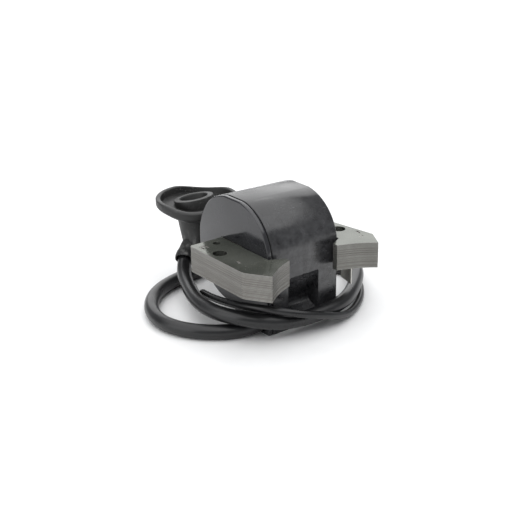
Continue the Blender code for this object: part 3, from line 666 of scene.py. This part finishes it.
# %% Node group helpers
def group_of(name, inputs, outputs):
    tree = bpy.data.node_groups.new(name, "ShaderNodeTree")
    for label, value in inputs:
        socket = tree.interface.new_socket(label, in_out="INPUT", socket_type="NodeSocketFloat")
        socket.default_value = value
    for label in outputs:
        tree.interface.new_socket(label, in_out="OUTPUT", socket_type="NodeSocketFloat")
    return tree, tree.nodes.new("NodeGroupInput"), tree.nodes.new("NodeGroupOutput")


def node(tree, kind, **values):
    made = tree.nodes.new("ShaderNode" + kind)
    for label, value in values.items():
        if hasattr(made, label):
            setattr(made, label, value)
        else:
            made.inputs[label.replace("_", " ")].default_value = value
    return made


def wire(tree, start, end):
    tree.links.new(start, end)


def ramp(tree, source, low, high):
    made = node(tree, "MapRange")
    made.inputs["From Min"].default_value = low
    made.inputs["From Max"].default_value = high
    made.clamp = True
    wire(tree, source, made.inputs["Value"])
    return made.outputs["Result"]


# %% Grain
grain, grain_in, grain_out = group_of("grain", [("Scale", 900.0), ("Detail", 4.0)], ["Height", "Patch"])
where = node(grain, "TexCoord")
fine = node(grain, "TexNoise")
patch = node(grain, "TexNoise", Detail=3.0, Scale=70.0)
wire(grain, where.outputs["Object"], fine.inputs["Vector"])
wire(grain, where.outputs["Object"], patch.inputs["Vector"])
wire(grain, grain_in.outputs["Scale"], fine.inputs["Scale"])
wire(grain, grain_in.outputs["Detail"], fine.inputs["Detail"])
wire(grain, fine.outputs["Fac"], grain_out.inputs["Height"])
wire(grain, ramp(grain, patch.outputs["Fac"], 0.35, 0.65), grain_out.inputs["Patch"])

# %% [markdown]
# Scuffs are two noises: one stretched into hair-fine scratches, and one so fine that only its highest points
# are left as specks. A third, broad noise decides where there are any, because handling marks come in groups.

# %% Scuffs
scuffs, scuffs_in, scuffs_out = group_of("scuffs", [("Amount", 0.5), ("Size", 1.0)], ["Scratches", "Specks"])
where = node(scuffs, "TexCoord")
turned = node(scuffs, "Mapping", vector_type="POINT")
turned.inputs["Rotation"].default_value = (0.4, 0.9, 0.7)
turned.inputs["Scale"].default_value = (1.0, 14.0, 3.0)
scratch = node(scuffs, "TexNoise", Scale=260.0, Detail=6.0)
speck = node(scuffs, "TexNoise", Detail=2.0)
broad = node(scuffs, "TexNoise", Scale=90.0, Detail=2.0)
scaled = node(scuffs, "Math", operation="MULTIPLY")
scaled.inputs[1].default_value = 1500.0
wire(scuffs, scuffs_in.outputs["Size"], scaled.inputs[0])
wire(scuffs, scaled.outputs["Value"], speck.inputs["Scale"])
wire(scuffs, where.outputs["Object"], turned.inputs["Vector"])
wire(scuffs, turned.outputs["Vector"], scratch.inputs["Vector"])
wire(scuffs, where.outputs["Object"], speck.inputs["Vector"])
wire(scuffs, where.outputs["Object"], broad.inputs["Vector"])
groups_of_marks = node(scuffs, "Math", operation="MULTIPLY")
wire(scuffs, ramp(scuffs, broad.outputs["Fac"], 0.48, 0.68), groups_of_marks.inputs[0])
wire(scuffs, scuffs_in.outputs["Amount"], groups_of_marks.inputs[1])
for source, low, high, label in ((scratch, 0.60, 0.70, "Scratches"), (speck, 0.66, 0.74, "Specks")):
    mark = node(scuffs, "Math", operation="MULTIPLY")
    wire(scuffs, ramp(scuffs, source.outputs["Fac"], low, high), mark.inputs[0])
    wire(scuffs, groups_of_marks.outputs["Value"], mark.inputs[1])
    wire(scuffs, mark.outputs["Value"], scuffs_out.inputs[label])

# %% Streaks
streaks, streaks_in, streaks_out = group_of(
    "streaks", [("X", 1.0), ("Y", 1.0), ("Z", 1.0), ("Scale", 900.0)], ["Height", "Lines"])
where = node(streaks, "TexCoord")
squeeze = node(streaks, "CombineXYZ")
for axis in "XYZ":
    wire(streaks, streaks_in.outputs[axis], squeeze.inputs[axis])
stretched = node(streaks, "VectorMath", operation="MULTIPLY")
wire(streaks, where.outputs["Object"], stretched.inputs[0])
wire(streaks, squeeze.outputs["Vector"], stretched.inputs[1])
line_noise = node(streaks, "TexNoise", Detail=3.0)
wire(streaks, stretched.outputs["Vector"], line_noise.inputs["Vector"])
wire(streaks, streaks_in.outputs["Scale"], line_noise.inputs["Scale"])
wire(streaks, line_noise.outputs["Fac"], streaks_out.inputs["Height"])
wire(streaks, ramp(streaks, line_noise.outputs["Fac"], 0.38, 0.62), streaks_out.inputs["Lines"])
print("node groups:", [g.name for g in bpy.data.node_groups])


# %% [markdown]
# A finish mixes two colours by the broad patches, lays scratches and specks over them, lets the roughness
# wander, and feeds the grain to a Bump node. `Finish` does that for one material and keeps its nodes at hand,
# so that a special finish can add to it.

# %% Finish
class Finish:
    def __init__(self, name, dark, light, rough, metallic=0.0, scale=900.0, bump=0.1, depth=0.05,
                 scuff=0.0, mark=(0.3, 0.3, 0.3), size=1.0):
        self.material = bpy.data.materials.new(name)
        self.material.use_nodes = True
        self.tree = self.material.node_tree
        self.shader = self.tree.nodes["Principled BSDF"]
        self.shader.inputs["Metallic"].default_value = metallic
        self.grain = self.group(grain, Scale=scale)
        self.colour = self.blend(self.grain.outputs["Patch"], (*dark, 1.0), (*light, 1.0))
        if scuff:
            marks = self.group(scuffs, Amount=scuff, Size=size)
            self.lay(marks.outputs["Scratches"], mark)
            self.lay(marks.outputs["Specks"], mark)
        wire(self.tree, self.colour, self.shader.inputs["Base Color"])
        low, high = rough
        wander = node(self.tree, "MapRange")
        wander.inputs["To Min"].default_value = low
        wander.inputs["To Max"].default_value = high
        wire(self.tree, self.grain.outputs["Patch"], wander.inputs["Value"])
        wire(self.tree, wander.outputs["Result"], self.shader.inputs["Roughness"])
        self.bump = node(self.tree, "Bump", Strength=bump, Distance=depth * MM)
        wire(self.tree, self.grain.outputs["Height"], self.bump.inputs["Height"])
        wire(self.tree, self.bump.outputs["Normal"], self.shader.inputs["Normal"])

    def group(self, tree, **values):
        placed = self.tree.nodes.new("ShaderNodeGroup")
        placed.node_tree = tree
        for label, value in values.items():
            placed.inputs[label].default_value = value
        return placed

    def blend(self, factor, first, second):
        """Mix two colours, each a constant or a socket, and return the result's socket."""
        mixer = self.tree.nodes.new("ShaderNodeMix")
        mixer.data_type = "RGBA"
        for socket, value in (("A", first), ("B", second)):
            place = next(s for s in mixer.inputs if s.name == socket and s.type == "RGBA")
            if isinstance(value, tuple):
                place.default_value = value
            else:
                wire(self.tree, value, place)
        wire(self.tree, factor, mixer.inputs["Factor"])
        return next(s for s in mixer.outputs if s.type == "RGBA")

    def lay(self, mask, colour):
        """Lay a colour over what is there, where the mask is high."""
        self.colour = self.blend(mask, self.colour, (*colour, 1.0))
        wire(self.tree, self.colour, self.shader.inputs["Base Color"])

    def add_height(self, height, strength, depth):
        """Stack one more bump on the grain."""
        more = node(self.tree, "Bump", Strength=strength, Distance=depth * MM)
        wire(self.tree, height, more.inputs["Height"])
        wire(self.tree, self.bump.outputs["Normal"], more.inputs["Normal"])
        wire(self.tree, more.outputs["Normal"], self.shader.inputs["Normal"])
        self.bump = more


def dress(finish, *objects):
    for obj in objects:
        obj.data.materials.clear()
        obj.data.materials.append(finish.material)


# %% [markdown]
# ### Case plastic
# The case is black glass-filled plastic, shiny from the mould. Its flat faces mirror the room, its curved
# front carries a painted sheen of lighter grey patches, and a low wave in the surface breaks the reflections.

# %% Case finishes
case_finish = Finish("case_plastic", (0.007, 0.007, 0.008), (0.013, 0.013, 0.0145), (0.16, 0.3), scale=1400.0,
                     bump=0.06, depth=0.05, scuff=0.5, mark=(0.16, 0.16, 0.17))
wave = case_finish.group(grain, Scale=190.0, Detail=2.0)
case_finish.add_height(wave.outputs["Height"], 0.12, 0.25)
where = node(case_finish.tree, "TexCoord")
split = node(case_finish.tree, "SeparateXYZ")
wire(case_finish.tree, where.outputs["Object"], split.inputs["Vector"])
# Painted sheen: the front of the case is painted lighter grey in patches.
painted_front_sheen = node(case_finish.tree, "Math", operation="MULTIPLY")
wire(case_finish.tree, ramp(case_finish.tree, split.outputs["Y"], -0.004, -0.0178), painted_front_sheen.inputs[0])
case_sheen_patches = case_finish.group(grain, Scale=330.0, Detail=5.0)
wire(case_finish.tree, ramp(case_finish.tree, case_sheen_patches.outputs["Height"], 0.25, 0.75), painted_front_sheen.inputs[1])
case_finish.lay(painted_front_sheen.outputs["Value"], (0.06, 0.06, 0.063))
case_finish.shader.inputs["IOR"].default_value = 1.6
cover_finish = Finish("cover_plastic", (0.016, 0.016, 0.0185), (0.022, 0.022, 0.0255), (0.1, 0.16),
                      scale=1600.0, bump=0.05, depth=0.03, scuff=0.25, mark=(0.2, 0.2, 0.21))
cover_finish.shader.inputs["IOR"].default_value = 1.6
dress(case_finish, case)
dress(cover_finish, cover)

# %% [markdown]
# ### Core steel
# A sheet's flat face keeps the mill's fine rolling lines and a thin oxide that looks greenish grey. The cut
# edges are different: the press shears them, which leaves short lines through the thickness, and each sheet
# takes the light a little differently. So the stack has two materials, chosen by which way a face points. The
# floors of the interlock dents slope, and they are bare pressed metal like the edges. A third material is
# painted shade: a near-black colour on the walls of the holes, which are found by their distance from each
# hole's middle.

# %% Core finishes
face_finish = Finish("sheet_face", (0.105, 0.112, 0.095), (0.15, 0.157, 0.136), (0.12, 0.2), metallic=0.55,
                     scale=1500.0, bump=0.05, depth=0.02, scuff=0.5, mark=(0.45, 0.44, 0.4))
rolled = face_finish.group(streaks, X=0.12, Y=3.0, Z=1.0, Scale=600.0)
face_finish.add_height(rolled.outputs["Height"], 0.05, 0.03)
edge_finish = Finish("sheared_edge", (0.27, 0.262, 0.248), (0.34, 0.332, 0.316), (0.42, 0.56), metallic=0.9,
                     scale=2200.0, bump=0.15, depth=0.04)
sheared = edge_finish.group(streaks, X=4.0, Y=4.0, Z=0.5, Scale=500.0)
edge_finish.add_height(sheared.outputs["Height"], 0.15, 0.04)
where = node(edge_finish.tree, "TexCoord")
split = node(edge_finish.tree, "SeparateXYZ")
wire(edge_finish.tree, where.outputs["Object"], split.inputs["Vector"])
level = node(edge_finish.tree, "Math", operation="MULTIPLY_ADD")
level.inputs[1].default_value = 1 / (PITCH * MM)
level.inputs[2].default_value = -(COIL.z / MM - HALF_STACK) / PITCH
wire(edge_finish.tree, split.outputs["Z"], level.inputs[0])
whole = node(edge_finish.tree, "Math", operation="FLOOR")
wire(edge_finish.tree, level.outputs["Value"], whole.inputs[0])
chance = node(edge_finish.tree, "TexWhiteNoise", noise_dimensions="1D")
wire(edge_finish.tree, whole.outputs["Value"], chance.inputs["W"])
edge_finish.lay(ramp(edge_finish.tree, chance.outputs["Value"], 0.4, 1.6), (0.13, 0.114, 0.098))
# Painted shade: a near-black colour for the hole walls, standing in for the shade inside the holes.
hole_shade_finish = Finish("hole_wall", (0.012, 0.012, 0.011), (0.03, 0.029, 0.026), (0.4, 0.6), metallic=0.6,
                     scale=1800.0, bump=0.2)
HOLE_REACH = 3.5
FACE, EDGE, HOLE = 0, 1, 2
for leg, holes in ((left_sheet, LEFT_HOLES), (right_sheet, RIGHT_HOLES)):
    dress(face_finish, leg)
    leg.data.materials.append(edge_finish.material)
    leg.data.materials.append(hole_shade_finish.material)
    for face in leg.data.polygons:
        upright = abs(face.normal.z)
        cut_edge = upright < 0.6
        dent_floor = 0.9 < upright < 0.985
        face.material_index = EDGE if cut_edge or dent_floor else FACE
        # Faces on the walls of the holes get the painted shade.
        for x, y in holes:
            out = face.center - spot(x, y, 0.0)
            if cut_edge and sqrt(out.x**2 + out.y**2) < HOLE_REACH * MM:
                face.material_index = HOLE

# %% [markdown]
# ### Rubber
# The lead's cover is extruded, so it is smooth and a little shiny, with faint lines along it. The boot is
# moulded in an eroded tool and is matt, with a bloom of dust where it has been handled. Pale streaks on its
# lower barrel and elbow are partly wear and partly a painted highlight.

# %% Rubber finishes
lead_finish = Finish("lead_rubber", (0.006, 0.006, 0.0065), (0.012, 0.012, 0.013), (0.26, 0.36), scale=1300.0,
                     bump=0.12, depth=0.05, scuff=0.3, mark=(0.08, 0.08, 0.085))
wire_finish = Finish("wire_rubber", (0.006, 0.006, 0.0065), (0.012, 0.012, 0.013), (0.24, 0.34), scale=1500.0,
                     bump=0.1, depth=0.04, scuff=0.25, mark=(0.07, 0.07, 0.075))
boot_finish = Finish("boot_rubber", (0.009, 0.009, 0.009), (0.02, 0.02, 0.0195), (0.42, 0.6), scale=1800.0,
                     bump=0.35, depth=0.08, scuff=1.0, mark=(0.17, 0.17, 0.165))
wear_and_highlight_noise = boot_finish.group(streaks, X=1.0, Y=1.0, Z=0.3, Scale=520.0)
where = node(boot_finish.tree, "TexCoord")
split = node(boot_finish.tree, "SeparateXYZ")
wire(boot_finish.tree, where.outputs["Object"], split.inputs["Vector"])
# Pale streaks low on the boot: partly wear, partly a painted highlight.
wear_and_highlight_streaks = node(boot_finish.tree, "Math", operation="MULTIPLY")
wire(boot_finish.tree, ramp(boot_finish.tree, split.outputs["Z"], 0.031, 0.024), wear_and_highlight_streaks.inputs[0])
wire(boot_finish.tree, ramp(boot_finish.tree, wear_and_highlight_noise.outputs["Height"], 0.52, 0.72), wear_and_highlight_streaks.inputs[1])
boot_finish.lay(wear_and_highlight_streaks.outputs["Value"], (0.11, 0.11, 0.105))
grommet_finish = Finish("grommet_rubber", (0.012, 0.012, 0.012), (0.02, 0.02, 0.02), (0.4, 0.55), bump=0.2)
dress(lead_finish, ht_lead)
dress(wire_finish, kill_lead)
dress(boot_finish, boot)
dress(grommet_finish, grommet)

# %% [markdown]
# ### Plated steel and the parts inside
# The strap and rivet are zinc plated and dull. What is inside the case isn't seen, but anyone who hides the
# case finds finished parts: wound copper with its lines of wire, cream nylon bobbins, glossy epoxy, a green
# board with its weave, and black and tan components.

# %% Remaining finishes
strap_finish = Finish("zinc_steel", (0.5, 0.49, 0.45), (0.62, 0.61, 0.57), (0.36, 0.5), metallic=1.0,
                      scale=1400.0, bump=0.15, depth=0.04, scuff=0.5, mark=(0.3, 0.28, 0.25))
spring_finish = Finish("spring_steel", (0.5, 0.5, 0.5), (0.6, 0.6, 0.6), (0.2, 0.32), metallic=1.0, bump=0.1)
copper_finish = Finish("copper_wire", (0.42, 0.14, 0.05), (0.58, 0.24, 0.1), (0.25, 0.38), metallic=1.0,
                       bump=0.1)
wound = copper_finish.group(streaks, X=5.0, Y=0.15, Z=0.15, Scale=900.0)
copper_finish.add_height(wound.outputs["Height"], 0.6, 0.1)
copper_finish.lay(wound.outputs["Lines"], (0.3, 0.1, 0.04))
nylon_finish = Finish("bobbin_nylon", (0.46, 0.43, 0.35), (0.56, 0.53, 0.46), (0.4, 0.52), bump=0.15,
                      scuff=0.3, mark=(0.62, 0.6, 0.54))
nylon_finish.shader.inputs["Subsurface Weight"].default_value = 0.1
epoxy_finish = Finish("potting_epoxy", (0.02, 0.017, 0.015), (0.035, 0.03, 0.026), (0.08, 0.2), scale=300.0,
                      bump=0.15, depth=0.2)
brass_finish = Finish("brass_wire", (0.56, 0.4, 0.15), (0.68, 0.5, 0.22), (0.25, 0.4), metallic=1.0, bump=0.1)
board_finish = Finish("circuit_board", (0.03, 0.13, 0.05), (0.05, 0.17, 0.07), (0.35, 0.5), bump=0.2)
weave = board_finish.group(streaks, X=3.0, Y=0.4, Z=1.0, Scale=700.0)
board_finish.lay(weave.outputs["Lines"], (0.06, 0.2, 0.08))
black_finish = Finish("component_black", (0.012, 0.012, 0.012), (0.02, 0.02, 0.02), (0.35, 0.5), bump=0.3,
                      scuff=0.3)
tan_finish = Finish("component_tan", (0.5, 0.36, 0.2), (0.6, 0.45, 0.28), (0.3, 0.42), bump=0.15, scuff=0.3)
dress(strap_finish, strap, rivet)
dress(spring_finish, spring)
inner = {
    "core_yoke": edge_finish, "primary_bobbin": nylon_finish, "secondary_bobbin": nylon_finish,
    "primary_winding": copper_finish, "potting_compound": epoxy_finish, "ht_terminal": brass_finish,
    "control_board": board_finish, "power_transistor": black_finish, "control_transistor": black_finish,
    "protection_diode": black_finish, "filter_capacitor": tan_finish, "bias_resistor": tan_finish,
}
inner.update({name: copper_finish for name in nodes if name.startswith("secondary_winding")})
for name, finish in inner.items():
    dress(finish, nodes[name])
print("CAD nodes dressed:", len(inner), "of", len(nodes))
print("materials:", len(bpy.data.materials))

# %% [markdown]
# ## Floor and light
# The part stands on a plain white sweep. A wide lamp overhead and a bright wall behind are mirrored in the
# flat top and the end cover, and a weak fill in front keeps the dark plastic from going flat.

# %% Floor
ops.object.select_all(action="DESELECT")
ops.mesh.primitive_plane_add(size=12.0, location=(0.0, 0.0, 0.0))
floor = bpy.context.active_object
floor.name = "floor"
paper = Finish("floor_paper", (0.9, 0.9, 0.9), (0.92, 0.92, 0.92), (0.75, 0.85), scale=400.0, bump=0.02)
dress(paper, floor)


def soft_lamp(name, place, target, size, power):
    data = bpy.data.lights.new(name, "AREA")
    data.shape = "RECTANGLE"
    data.size, data.size_y = size
    data.energy = power
    lamp = bpy.data.objects.new(name, data)
    bpy.context.scene.collection.objects.link(lamp)
    lamp.location = place
    lamp.rotation_euler = (Vector(target) - Vector(place)).to_track_quat("-Z", "Y").to_euler()


soft_lamp("overhead", (0.0, -0.05, 1.5), (0.0, 0.0, 0.0), (2.8, 2.8), 38.0)
soft_lamp("back_wall", (0.9, 1.3, 0.75), (0.0, 0.0, 0.05), (1.8, 1.2), 10.5)
soft_lamp("left_fill", (-1.3, 0.1, 0.6), (0.0, 0.0, 0.02), (1.2, 1.0), 6.0)
world = bpy.data.worlds.new("room")
world.use_nodes = True
world.node_tree.nodes["Background"].inputs["Color"].default_value = (0.95, 0.97, 1.0, 1.0)
world.node_tree.nodes["Background"].inputs["Strength"].default_value = 0.36
bpy.context.scene.world = world
bpy.context.scene.view_settings.view_transform = "Standard"
